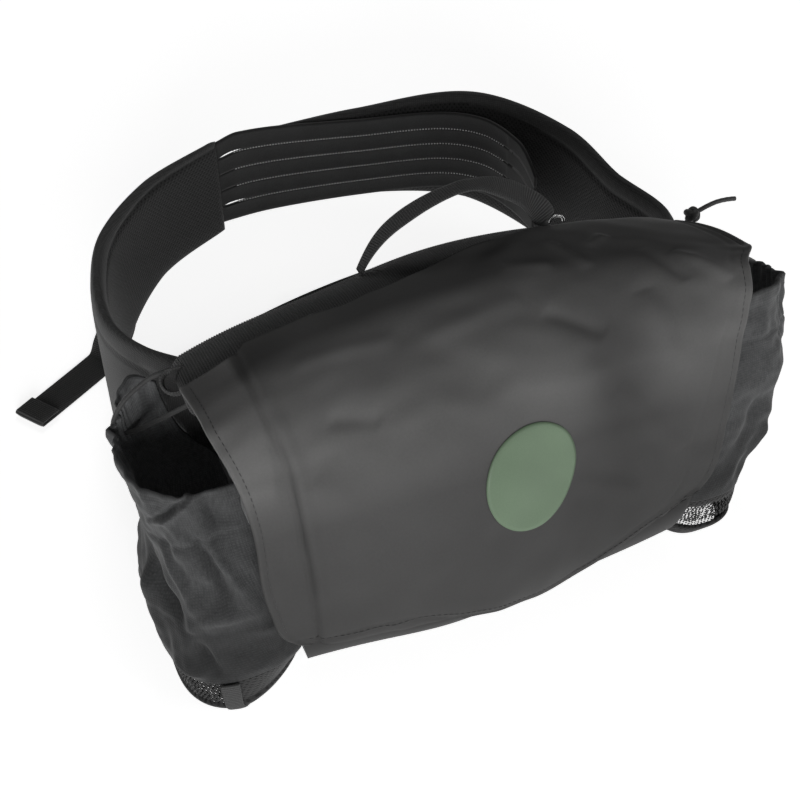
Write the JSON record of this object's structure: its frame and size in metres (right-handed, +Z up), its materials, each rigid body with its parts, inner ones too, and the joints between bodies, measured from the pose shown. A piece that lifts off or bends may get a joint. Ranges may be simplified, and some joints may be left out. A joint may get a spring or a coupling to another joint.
{
  "type": "hip bag",
  "caption": "Soft hip bag with a wide flap, a carry handle, open bottle pockets at its sides and a padded waist belt closed at the back.",
  "frame": {"origin": "middle of the bag's flat base, on the surface it stands on", "axes": "+Z up, +X to the right seen from the front, the front flap faces -Y and the belt closes on the +Y side"},
  "size_m": [0.4092, 0.3796, 0.1978],
  "materials": {
    "coated": "coated tarpaulin cloth, satin, with soft dents",
    "woven": "dark woven polyester, matt",
    "mesh": "black spacer mesh over foam, matt",
    "webbing": "ribbed black webbing",
    "print": "plain green round print, satin",
    "elastic": "braided black elastic cord",
    "steel": "bright wire"
  },
  "bodies": {
    "root": {"bag_body": "woven", "flap": "coated", "flap_disc": "print", "top_tape": "webbing", "left_cord_loop": "webbing", "right_cord_loop": "webbing", "handle": "webbing", "pull_ring": "steel", "left_wing": "mesh", "right_wing": "mesh", "closure_panel": "woven", "left_pocket": "woven", "left_pocket_base": "mesh", "right_pocket": "woven", "right_pocket_base": "mesh", "left_base_tab": "webbing", "left_rear_drawcord": "elastic", "left_front_drawcord": "elastic", "right_drawcord": "elastic", "right_cord_tail": "elastic", "right_cord_knot": "elastic", "tail_strap": "webbing"}
  },
  "joints": []
}
